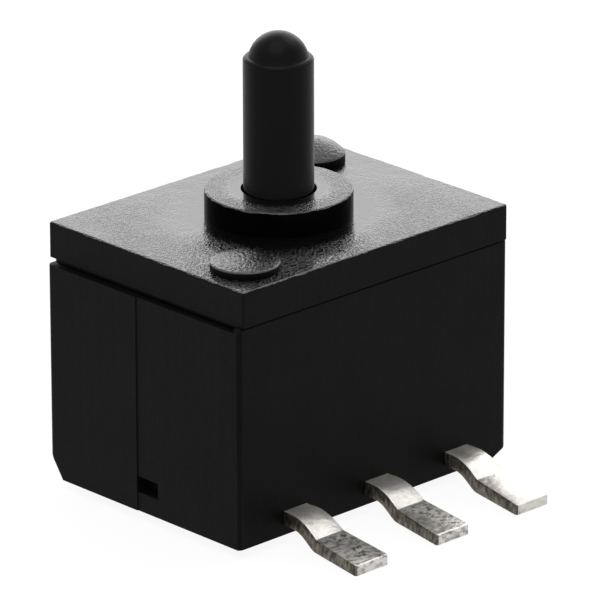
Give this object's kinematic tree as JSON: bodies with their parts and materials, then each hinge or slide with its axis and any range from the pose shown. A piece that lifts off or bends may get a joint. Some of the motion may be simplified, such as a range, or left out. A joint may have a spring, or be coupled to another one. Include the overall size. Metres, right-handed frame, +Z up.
{
  "type": "micro switch",
  "caption": "Small surface-mount change-over switch worked by a round domed plunger that slides in a collar on its cover and springs back.",
  "frame": {"origin": "on the plunger's axis, at the board plane on which the pads and the terminals' feet stand", "axes": "+Z up along the plunger's axis, out of the cover; the terminals leave towards -Y, in a row along X"},
  "size_m": [0.0067, 0.007, 0.0084],
  "materials": {
    "base_plastic": "black glass-filled moulding, semi-matte",
    "cover_plastic": "black moulding with a fine sandy grain and a sheen",
    "plunger_plastic": "black smooth acetal",
    "spring_steel": "drawn stainless spring wire",
    "contact_leaf": "bright phosphor-bronze strip",
    "tinned_terminal": "satin tin plating over brass, slightly mottled"
  },
  "bodies": {
    "housing": {"base_housing": "base_plastic", "cover": "cover_plastic", "return_spring": "spring_steel", "terminal_common": "tinned_terminal", "terminal_normally_closed": "tinned_terminal", "terminal_normally_open": "tinned_terminal"},
    "plunger": {"plunger": "plunger_plastic", "moving_contact": "contact_leaf"}
  },
  "joints": [
    {"name": "plunger_slide", "type": "slide", "parent": "housing", "child": "plunger", "axis": [0, 0, -1], "range_m": [0, 0.0021], "stiffness_N_per_m": 150, "springref_m": -0.001, "deforming": ["return_spring"]}
  ]
}
